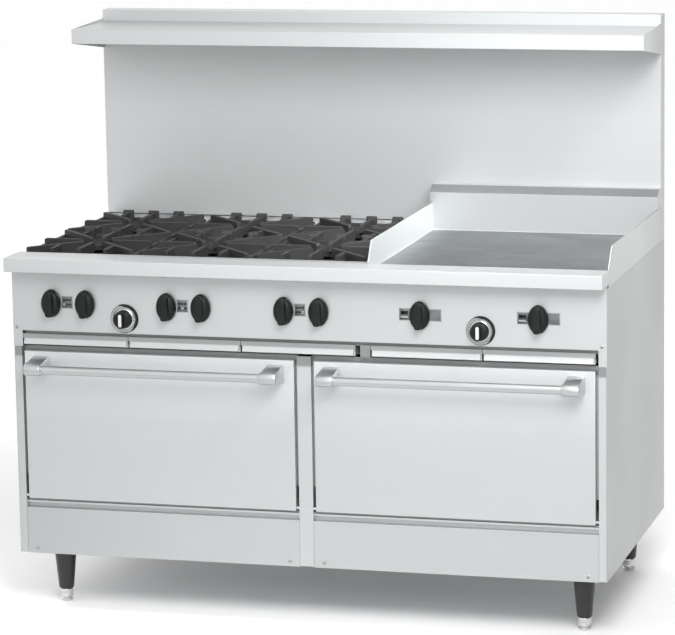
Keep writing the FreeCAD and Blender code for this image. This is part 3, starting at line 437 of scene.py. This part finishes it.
def axes_for(direction):
    """Two unit vectors square to a direction."""
    direction = Vector(direction).normalized()
    helper = Vector((0, 0, 1)) if abs(direction.z) < 0.9 else Vector((1, 0, 0))
    u = helper.cross(direction).normalized()
    return u, direction.cross(u)


def turned(bm, profile, centre, direction=(0, 0, 1), segments=48, wobble=None):
    """Turn an (r, h) outline, open at both ends of the axis, about a direction from centre."""
    u, v = axes_for(direction)
    direction = Vector(direction).normalized()
    centre = Vector(centre)
    rings = []
    for r, h in profile:
        ring = []
        for i in range(segments):
            angle = 2 * math.pi * i / segments
            radius = r if wobble is None else wobble(r, h, angle)
            ring.append(centre + direction * h + (u * math.cos(angle) + v * math.sin(angle)) * radius)
        rings.append(ring)
    loft(bm, rings)


def block(bm, lo, hi):
    """Add a box between two corners."""
    corners = [Vector((x, y, z)) for x in (lo[0], hi[0]) for y in (lo[1], hi[1]) for z in (lo[2], hi[2])]
    v = [bm.verts.new(c) for c in corners]
    for face in ((0, 1, 3, 2), (4, 6, 7, 5), (0, 4, 5, 1), (2, 3, 7, 6), (0, 2, 6, 4), (1, 5, 7, 3)):
        bm.faces.new([v[i] for i in face])


def oval(half_x, half_z, y, count=48, power=2.0):
    """A superellipse in the XZ plane at depth y."""
    points = []
    for i in range(count):
        angle = 2 * math.pi * i / count
        c, s = math.cos(angle), math.sin(angle)
        points.append(Vector((math.copysign(abs(c) ** (2 / power), c) * half_x, y,
                              math.copysign(abs(s) ** (2 / power), s) * half_z)))
    return points


def moved(rings, offset):
    return [[p + offset for p in ring] for ring in rings]


# ---- CAD nodes that stay -------------------------------------------------------------------
EDGE = {"castings": 0.0011, "stainless": 0.0006, "tray_steel": 0.0004, "griddle_steel": 0.0012,
        "enamel": 0.0007, "leg_paint": 0.0012, "galvanised": 0.0004}
PANEL_FACE_Y = -0.368   # front face of the control panel
DIAL_HEIGHT = 0.757

LOOK_OF = {**SLOT_OF, "left_side_panel": "side_steel_painted_shade", "right_side_panel": "side_steel_painted_shade",
           "high_shelf": "shelf_steel", "griddle_splash": "splash_steel", "front_frame": "frame_steel",
           "left_door_skin": "door_steel", "right_door_skin": "door_steel", "control_panel": "panel_steel",
           "front_rail": "rail_steel_painted_light_shade", "kick_panels": "kick_steel_painted_shade"}

for node_name, node in NODES.items():
    slot_name = SLOT_OF[node_name]
    node.data.materials.clear()
    node.data.materials.append(MATERIALS[LOOK_OF[node_name]])
    if "custom_normal" in node.data.attributes:
        node.data.attributes.remove(node.data.attributes["custom_normal"])
    weld = node.modifiers.new("weld", "WELD")
    weld.merge_threshold = 0.00002
    flat = node.modifiers.new("flat", "DECIMATE")
    flat.decimate_type = "DISSOLVE"
    flat.angle_limit = math.radians(0.4)
    finish_surface(node, 32, EDGE.get(slot_name, 0.0))


# ---- valve knobs ---------------------------------------------------------------------------
def knob_piece(node):
    """Domed oval base with a tapered, chamfered grip."""
    lo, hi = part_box(node)
    centre = Vector(((lo.x + hi.x) / 2, hi.y, (lo.z + hi.z) / 2))
    half_x, half_z, depth = (hi.x - lo.x) / 2, (hi.z - lo.z) / 2, hi.y - lo.y
    # shares of the half width, half height and depth; the grip's rings also state how square they are
    base = [(0.93, 0.95, 0.0), (0.985, 0.99, 0.035), (1.0, 1.0, 0.10), (0.995, 0.995, 0.25),
            (0.95, 0.965, 0.40), (0.83, 0.89, 0.53), (0.62, 0.74, 0.62), (0.34, 0.48, 0.665),
            (0.10, 0.2, 0.675)]
    grip = [(0.46, 0.93, 0.30, 3.4), (0.44, 0.93, 0.60, 3.6), (0.42, 0.92, 0.85, 3.8),
            (0.39, 0.905, 0.94, 3.8), (0.34, 0.88, 0.985, 3.6), (0.22, 0.74, 1.0, 3.0)]
    bm = bmesh.new()
    loft(bm, moved([oval(half_x * a, half_z * b, -depth * d, 64) for a, b, d in base], centre))
    loft(bm, moved([oval(half_x * a, half_z * b, -depth * d, 64, p) for a, b, d, p in grip], centre))
    piece = new_piece(node + "_moulding", bm, "knob_plastic", BODY_OF[node], subdivide=1, smooth_angle=60)
    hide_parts(node)
    collar = bmesh.new()
    turned(collar, [(0.006, 0), (0.0115, 0), (0.0115, 0.0025), (0.006, 0.0025)],
           (centre.x, centre.y + 0.0026, centre.z), (0, -1, 0), 32)
    new_piece(node + "_collar", collar, "mark_black", BODY_OF[node])


# ---- thermostat dials ----------------------------------------------------------------------
def dial_piece(node):
    """Satin scale ring with printed ticks, a fluted black knob and a white pointer."""
    lo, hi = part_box(node)
    body = BODY_OF[node]
    radius, depth = (hi.x - lo.x) / 2, hi.y - lo.y
    centre = Vector(((lo.x + hi.x) / 2, hi.y, (lo.z + hi.z) / 2))
    out = Vector((0, -1, 0))
    ring = bmesh.new()
    rim_height, top_height = 0.0030, 0.0058   # of the sloping scale, at its rim and its inner edge
    turned(ring, [(radius * 0.70, 0.0), (radius * 0.985, 0.0), (radius, 0.0006), (radius, 0.0022),
                  (radius * 0.985, rim_height), (radius * 0.86, top_height), (radius * 0.84, 0.0061),
                  (radius * 0.70, 0.0061)], centre, out, 96)
    piece = new_piece(node + "_scale", ring, "dial_ring", body, smooth_angle=25)
    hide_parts(node)

    ticks = bmesh.new()
    count, sweep = 25, math.radians(288)
    for i in range(count):
        angle = math.radians(90) + sweep / 2 - i * sweep / (count - 1)
        inner, half = (0.875, 0.00075) if i % 4 == 0 else (0.90, 0.00050)
        r0, r1 = radius * inner, radius * 0.968
        along = Vector((math.cos(angle), 0, math.sin(angle)))
        across = Vector((-math.sin(angle), 0, math.cos(angle)))
        slope = (top_height - rim_height) / (radius * (0.985 - 0.86))
        corners = []
        for lift in (-0.0001, 0.00012):
            for r, side in ((r0, -1), (r1, -1), (r1, 1), (r0, 1)):
                height = top_height - (r - radius * 0.86) * slope + lift
                corners.append(ticks.verts.new(centre + along * r + across * half * side + out * height))
        for face in ((0, 1, 2, 3), (7, 6, 5, 4), (0, 4, 5, 1), (1, 5, 6, 2), (2, 6, 7, 3), (3, 7, 4, 0)):
            ticks.faces.new([corners[k] for k in face])
    new_piece(node + "_ticks", ticks, "mark_black", body)

    def flutes(r, h, angle):
        ridge = 0.5 + 0.5 * math.cos(angle * 30)
        return r * (1 - 0.022 * ridge) if 0.0066 < h < depth * 0.66 and r > radius * 0.6 else r

    body_bm = bmesh.new()
    foot = [(0.30, 0.0050), (0.79, 0.0052), (0.80, 0.0064), (0.79, 0.0075)]
    crown = [(0.775, 0.45), (0.755, 0.62), (0.72, 0.685), (0.64, 0.715), (0.40, 0.725), (0.05, 0.725)]
    turned(body_bm, [(radius * r, h) for r, h in foot] + [(radius * r, depth * h) for r, h in crown],
           centre, out, 180, flutes)
    new_piece(node + "_knob", body_bm, "knob_plastic", body, smooth_angle=35)

    grip = bmesh.new()
    half_x, half_z = radius * 0.215, radius * 0.70
    rings = [oval(half_x * a, half_z * b, -depth * d, 56, 5.0)
             for a, b, d in ((1.12, 1.0, 0.66), (1.06, 0.99, 0.80), (1.0, 0.97, 0.955),
                             (0.95, 0.955, 0.982), (0.82, 0.93, 0.99))]
    loft(grip, moved(rings, centre))
    new_piece(node + "_grip", grip, "knob_plastic", body, smooth_angle=35)
    pointer = bmesh.new()
    rings = [oval(half_x * a, half_z * b, -depth * d, 56, 6.0)
             for a, b, d in ((0.66, 0.76, 0.985), (0.66, 0.76, 0.996), (0.60, 0.745, 1.0))]
    loft(pointer, moved(rings, centre))
    new_piece(node + "_pointer", pointer, "dial_white", body, smooth_angle=35)


# ---- thermostats ---------------------------------------------------------------------------
def thermostat_pieces():
    """Control bodies behind the panel, and plated bezels with a black arc on the front: a painted dark
    reflection over the upper right of each bezel.
    """
    lo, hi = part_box("thermostats")
    front, bezel_r, body_half = lo.y, 0.036, 0.026
    panel_y = PANEL_FACE_Y
    bodies, bezels, arcs = bmesh.new(), bmesh.new(), bmesh.new()
    for x in (lo.x + bezel_r, hi.x - bezel_r):
        z = DIAL_HEIGHT
        block(bodies, (x - body_half, panel_y + 0.005, z - 0.024),
              (x + body_half, panel_y + 0.040, z + 0.026))
        turned(bodies, [(0.001, 0.0), (0.004, 0.0), (0.004, 0.028), (0.001, 0.028)],
               (x, front, z), (0, 1, 0), 32)
        turned(bodies, [(0.001, 0.0), (0.006, 0.0), (0.006, 0.020), (0.001, 0.020)],
               (x + 0.015, panel_y + 0.038, z + 0.018), (0, 1, 0), 32)
        turned(bezels, [(0.029, 0.0), (0.0357, 0.0), (0.0357, 0.0022), (0.0352, 0.0028),
                        (0.0337, 0.0046), (0.0330, 0.0049), (0.0295, 0.0049), (0.029, 0.0045)],
               (x, panel_y, z), (0, -1, 0), 96)
        # painted reflection: a black arc from -60 degrees over the top stands for the dark reflection in
        # the plated bezel
        count, start, sweep = 48, math.radians(-60), math.radians(175)
        rings = []
        for i in range(count + 1):
            angle = start + sweep * i / count
            along = Vector((math.cos(angle), 0, math.sin(angle)))
            reach = min(1.0, i / 8, (count - i) / 8)
            inner = 0.0340 - 0.0043 * reach
            section = ((inner, 0.0035), (inner, 0.0050), (0.0342, 0.0050), (0.0360, 0.0026),
                       (0.0360, 0.0012))
            rings.append([Vector((x, panel_y, z)) + along * r + Vector((0, -h, 0)) for r, h in section])
        loft(arcs, rings)
    piece = new_piece("thermostat_bodies", bodies, "pipe_paint", ROOT)
    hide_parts("thermostats")
    new_piece("thermostat_bezels", bezels, "dial_bezel", ROOT, smooth_angle=25)
    new_piece("thermostat_painted_reflection_arcs", arcs, "mark_black", ROOT, smooth_angle=25)


# ---- door handles --------------------------------------------------------------------------
def handle_piece(node):
    """Satin tube held by two smooth cast brackets that flare towards the door."""
    lo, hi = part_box(node)
    body = BODY_OF[node]
    nose_r, bar_r, width = 0.015, 0.011, 0.041
    mid_z = (lo.z + hi.z) / 2
    bar_y = lo.y + nose_r
    half_foot = (hi.z - lo.z) / 2

    def flare(t):
        blend = t * t * (3 - 2 * t)
        return hi.y + (bar_y - hi.y) * t, half_foot + (nose_r - half_foot) * blend

    upper = [flare(step / 7) for step in range(7)]
    turns = [math.pi / 2 + math.pi * step / 16 for step in range(17)]
    nose = [(bar_y + nose_r * math.cos(angle), nose_r * math.sin(angle)) for angle in turns]
    outline = upper + nose + [(y, -z) for y, z in reversed(upper)]
    brackets = bmesh.new()
    for x0 in (lo.x, hi.x - width):
        rings = []
        for x, inset in ((0.0, 0.0016), (0.0006, 0.0005), (0.0018, 0.0), (width - 0.0018, 0.0),
                         (width - 0.0006, 0.0005), (width, 0.0016)):
            ring = []
            for y, z in outline:
                shrink_y = bar_y + (y - bar_y) * (1 - inset / 0.03) if y < hi.y - 1e-6 else y
                ring.append(Vector((x0 + x, shrink_y, mid_z + z * (1 - inset / 0.02))))
            rings.append(ring)
        loft(brackets, rings)
    piece = new_piece(node + "_brackets", brackets, "handle_metal", body, smooth_angle=38)
    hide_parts(node)
    bar = bmesh.new()
    start = lo.x + width - 0.002
    length = (hi.x - width + 0.002) - start
    turned(bar, [(bar_r * 0.5, 0), (bar_r, 0), (bar_r, length * 0.25), (bar_r, length * 0.5),
                 (bar_r, length * 0.75), (bar_r, length), (bar_r * 0.5, length)],
           (start, bar_y, mid_z), (1, 0, 0), 48)
    new_piece(node + "_bar", bar, "handle_metal", body)
    collars = bmesh.new()
    for x, way in ((lo.x + width, 1), (hi.x - width, -1)):
        turned(collars, [(bar_r * 0.9, -0.001), (bar_r + 0.0022, -0.001), (bar_r + 0.0022, 0.0022),
                         (bar_r + 0.0012, 0.0034), (bar_r * 0.98, 0.0034)],
               (x, bar_y, mid_z), (way, 0, 0), 48)
    new_piece(node + "_collars", collars, "handle_metal", body, smooth_angle=30)


# ---- levelling feet ------------------------------------------------------------------------
def feet_piece():
    """Plated feet with a round base, a knurled grip and a stem up into each leg."""
    lo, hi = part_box("levelling_feet")
    r, h = 0.0165, 0.033

    def knurl(radius, height, angle):
        if 0.0135 < height < 0.0285:
            return radius * (1 - 0.035 * (0.5 + 0.5 * math.cos(angle * 28)))
        return radius

    bm = bmesh.new()
    for x in (lo.x + r, hi.x - r):
        for y in (lo.y + r, hi.y - r):
            profile = [(0.009, 0.0), (0.0135, 0.0), (0.0148, 0.0012), (0.0150, 0.0062),
                       (0.0130, 0.0080), (0.0130, 0.0100), (0.0158, 0.0115), (r, 0.0130), (r, 0.0140),
                       (r, 0.0205), (r, 0.0280), (r, 0.0290), (0.0158, 0.0315), (0.0140, h - 0.0002),
                       (0.0080, h - 0.0001), (0.0078, hi.z), (0.002, hi.z)]
            turned(bm, profile, (x, y, 0), (0, 0, 1), 112, knurl)
    piece = new_piece("levelling_feet_turned", bm, "bright_wire", ROOT, smooth_angle=30)
    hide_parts("levelling_feet")


# ---- label plates --------------------------------------------------------------------------
def label_marks():
    """Raised rims and plain pictograms on the small plates beside the knobs."""
    plates = []
    mesh = NODES["label_plates"].data
    xs = sorted({round(v.co.x, 5) for v in mesh.vertices})
    groups = [[xs[0]]]
    for x in xs[1:]:
        if x - groups[-1][-1] > 0.06:
            groups.append([x])
        else:
            groups[-1].append(x)
    for g in groups:
        inside = [v.co for v in mesh.vertices if g[0] - 1e-6 <= v.co.x <= g[-1] + 1e-6]
        plates.append((Vector((g[0], min(c.y for c in inside), min(c.z for c in inside))),
                       Vector((g[-1], max(c.y for c in inside), max(c.z for c in inside)))))
    dark, pale = bmesh.new(), bmesh.new()
    lift = 0.00025
    for index, (lo, hi) in enumerate(plates):
        front = lo.y

        def patch(bm, x, z, half_x, half_z):
            block(bm, (x - half_x, front - lift, z - half_z), (x + half_x, front + 0.0002, z + half_z))

        mid_x, mid_z = (lo.x + hi.x) / 2, (lo.z + hi.z) / 2
        half_x, half_z = (hi.x - lo.x) / 2, (hi.z - lo.z) / 2
        for sign in (-1, 1):
            patch(pale, mid_x, mid_z + sign * (half_z - 0.0009), half_x - 0.0006, 0.0004)
            patch(pale, mid_x + sign * (half_x - 0.0009), mid_z, 0.0004, half_z - 0.0006)
        if half_x < 0.03:
            for row in (-1, 1):
                for column in (-1, 0, 1):
                    outer, inner = dark, pale
                    if column == (index % 3) - 1 and row == -1:
                        outer, inner = pale, dark
                    x, z = mid_x + column * 0.0075, mid_z + row * 0.0055
                    patch(outer, x, z, 0.0026, 0.0026)
                    patch(inner, x, z, 0.0012, 0.0012)
        else:
            x = mid_x - half_x + 0.0135
            patch(dark, x, mid_z + 0.004, 0.0090, 0.0045)
            patch(pale, x - 0.003, mid_z + 0.004, 0.0030, 0.0022)
            patch(pale, x, mid_z - 0.0065, 0.0090, 0.0012)
            for k in (-1, 0, 1):
                patch(dark, x + k * 0.006, mid_z - 0.0105, 0.0013, 0.0016)
    new_piece("label_marks_dark", dark, "mark_black", ROOT)
    new_piece("label_marks_pale", pale, "mark_pale", ROOT)


# ---- screws --------------------------------------------------------------------------------
def screw_heads():
    """Pan heads with a pressed cross recess, one on each CAD screw."""
    mesh = NODES["screws"].data
    points = [v.co.copy() for v in mesh.vertices]
    clusters = []
    for p in points:
        for c in clusters:
            if (c[0] - p).length < 0.012:
                c.append(p)
                break
        else:
            clusters.append([p])
    bm = bmesh.new()
    rings, spokes, radius, rise = 7, 32, 0.0042, 0.0023
    for c in clusters:
        lo = Vector([min(p[k] for p in c) for k in range(3)])
        hi = Vector([max(p[k] for p in c) for k in range(3)])
        mid = (lo + hi) / 2
        extent = hi - lo
        if extent.y < 0.004:
            forward = mid.y < 0
            direction = Vector((0, -1, 0)) if forward else Vector((0, 1, 0))
            base = Vector((mid.x, hi.y if forward else lo.y, mid.z))
        else:
            direction, base = Vector((0, 0, -1)), Vector((mid.x, mid.y, hi.z))
        u, v = axes_for(direction)
        turn = 0.7 * math.sin(base.x * 71.0)
        loops = [[bm.verts.new(base + (u * math.cos(a) + v * math.sin(a)) * radius)
                  for a in (2 * math.pi * i / spokes for i in range(spokes))]]
        for k in range(rings):
            r = radius * (1 - k / rings)
            loop = []
            for i in range(spokes):
                a = 2 * math.pi * i / spokes
                x, y = r * math.cos(a + turn), r * math.sin(a + turn)
                height = rise * math.sqrt(max(0.0, 1 - (r / radius) ** 2 * 0.72))
                in_cross = (abs(x) < 0.00055 or abs(y) < 0.00055) and r < radius * 0.62
                height -= 0.0010 * (1 - r / (radius * 0.7)) + 0.0004 if in_cross else 0.0
                around = u * math.cos(a) + v * math.sin(a)
                loop.append(bm.verts.new(base + direction * height + around * r))
            loops.append(loop)
        for a_loop, b_loop in zip(loops, loops[1:]):
            for i in range(spokes):
                j = (i + 1) % spokes
                bm.faces.new((a_loop[i], a_loop[j], b_loop[j], b_loop[i]))
        bm.faces.new(loops[-1])
        bm.faces.new(loops[0][::-1])
    piece = new_piece("screw_heads", bm, "screw_steel", ROOT, smooth_angle=50)
    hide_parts("screws")


# ---- weld beads ----------------------------------------------------------------------------
def weld_beads():
    """Ground weld seams between the griddle walls and round the plate."""
    plate_lo, plate_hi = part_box("griddle_plate")
    bm = bmesh.new()

    def bead(start, end, radius, ripple=0.0035):
        start, end = Vector(start), Vector(end)
        direction = (end - start).normalized()
        u, v = axes_for(direction)
        length = (end - start).length
        steps = max(4, int(length / ripple) * 2)
        around = [2 * math.pi * k / 8 for k in range(8)]
        rings = []
        for i in range(steps + 1):
            r = radius * (1.0 if i % 2 else 0.82)
            at = start + direction * length * i / steps
            rings.append([at + (u * math.cos(a) + v * math.sin(a)) * r for a in around])
        loft(bm, rings)

    rear, wall_top = plate_hi.y, 0.958
    bead((plate_lo.x, rear, plate_hi.z), (plate_lo.x, rear, wall_top), 0.0012)
    right = plate_hi.x - 0.0006   # keeps the bead off the outer face of the wall
    bead((right, rear, plate_hi.z), (right, rear, wall_top), 0.0012)
    bead((plate_lo.x, plate_lo.y + 0.002, plate_hi.z), (plate_lo.x, rear, plate_hi.z), 0.0014)
    bead((plate_lo.x, rear, plate_hi.z), (plate_hi.x, rear, plate_hi.z), 0.0014)
    new_piece("griddle_welds", bm, "stainless", ROOT, smooth_angle=60)


for name in NODES:
    if name.startswith("knob_"):
        knob_piece(name)
    elif name.startswith("dial_"):
        dial_piece(name)
    elif name.endswith("_door_handle"):
        handle_piece(name)
thermostat_pieces()
feet_piece()
label_marks()
screw_heads()
weld_beads()


# ---- floor, light and camera ---------------------------------------------------------------
def studio_floor():
    """Pale seamless floor under and around the range."""
    bm = bmesh.new()
    around = [2 * math.pi * i / 64 for i in range(64)]
    rings = [[Vector((r * math.cos(a), r * math.sin(a), -0.0005)) for a in around]
             for r in (0.5, 2, 4, 8, 16, 32, 70)]
    loft(bm, rings, close_start=True, close_end=False)
    mesh = bpy.data.meshes.new("floor")
    bm.to_mesh(mesh)
    bm.free()
    s = Shader("floor_paper", (0.95, 0.95, 0.95), 0.8, specular=0.1)
    s.tint(s.noise(3, 3), (0.935, 0.935, 0.94), 0.0, 0.5)
    distance = s.node("ShaderNodeVectorMath", operation="LENGTH")
    s.link(s.coords((1, 1, 1)), distance.inputs[0])
    # painted light: the floor glows, its emission rising from nothing 1.4 m from the centre to 0.11 at 3.4
    # m
    s.shader.inputs["Emission Color"].default_value = (1, 1, 1, 1)
    s.link(s.span(distance.outputs["Value"], 0.0, 0.11, 1.4, 3.4), s.shader.inputs["Emission Strength"])
    mesh.materials.append(s.done())
    floor = bpy.data.objects.new("floor", mesh)
    bpy.context.scene.collection.objects.link(floor)


def area(name, at, towards, size, power, spread=180):
    """Soft box light; the spread narrows its beam, in degrees."""
    light = bpy.data.lights.new(name, "AREA")
    light.shape = "RECTANGLE"
    light.size, light.size_y = size
    light.energy = power
    light.spread = math.radians(spread)
    obj = bpy.data.objects.new(name, light)
    obj.location = at
    obj.rotation_euler = (Vector(towards) - Vector(at)).to_track_quat("-Z", "Y").to_euler()
    bpy.context.scene.collection.objects.link(obj)


def studio_world():
    """White studio that falls off smoothly towards a few stated directions."""
    world = bpy.data.worlds.new("studio")
    world.use_nodes = True
    tree = world.node_tree
    background = tree.nodes["Background"]
    coordinates = tree.nodes.new("ShaderNodeTexCoord")
    so_far = None
    for direction, start, end, darkest in WORLD_DARK:
        dot = tree.nodes.new("ShaderNodeVectorMath")
        dot.operation = "DOT_PRODUCT"
        dot.inputs[1].default_value = Vector(direction).normalized()
        fall = tree.nodes.new("ShaderNodeMapRange")
        fall.interpolation_type = "SMOOTHSTEP"
        fall.inputs["From Min"].default_value = start
        fall.inputs["From Max"].default_value = end
        fall.inputs["To Min"].default_value = 1.0
        fall.inputs["To Max"].default_value = darkest
        tree.links.new(coordinates.outputs["Generated"], dot.inputs[0])
        tree.links.new(dot.outputs["Value"], fall.inputs["Value"])
        if so_far is None:
            so_far = fall.outputs["Result"]
        else:
            product = tree.nodes.new("ShaderNodeMath")
            product.operation = "MULTIPLY"
            tree.links.new(so_far, product.inputs[0])
            tree.links.new(fall.outputs["Result"], product.inputs[1])
            so_far = product.outputs["Value"]
    tree.links.new(so_far, background.inputs["Color"])
    background.inputs["Strength"].default_value = WORLD_STRENGTH
    bpy.context.scene.world = world


def photo_camera():
    """Long lens from the front right, slightly above the range."""
    at, yaw, pitch, roll = (2.2617, -8.2265, 2.2663), 0.2699, 0.1806, -0.0159
    d = Vector((-math.sin(yaw) * math.cos(pitch), math.cos(yaw) * math.cos(pitch), -math.sin(pitch)))
    r = d.cross(Vector((0, 0, 1))).normalized()
    u = r.cross(d)
    right = r * math.cos(roll) + u * math.sin(roll)
    up = u * math.cos(roll) - r * math.sin(roll)
    data = bpy.data.cameras.new("camera")
    data.lens, data.sensor_width = 182.43, 36.0
    data.clip_end = 200
    camera = bpy.data.objects.new("camera", data)
    turn = Matrix((right, up, -d)).transposed().to_4x4()
    camera.matrix_world = Matrix.Translation(at) @ turn
    bpy.context.scene.collection.objects.link(camera)
    bpy.context.scene.camera = camera


# direction, cosines where the fall-off starts and ends, and the share of light left at its end
WORLD_DARK = (((0.95, 0.3, 0.0), 0.0, 0.7, 0.08), ((-0.8, -0.6, 0.1), 0.3, 1.0, 0.6),
              ((-0.2, 1.0, 0.15), 0.7, 1.0, 0.6), ((0.0, 0.1, 1.0), 0.5, 1.0, 0.5))
WORLD_STRENGTH = 1.87
studio_floor()
studio_world()
area("key", (1.3, -2.8, 2.8), (0.3, 0.2, 1.1), (1.6, 1.6), 28, 70)
area("top", (0.2, -0.6, 3.8), (0.1, 0.0, 0.9), (1.6, 1.6), 4, 100)
area("griddle_spot", (1.35, -0.6, 2.3), (0.2, 0.05, 0.93), (0.7, 0.7), 5, 32)
photo_camera()
bpy.context.scene.view_settings.view_transform = "Standard"
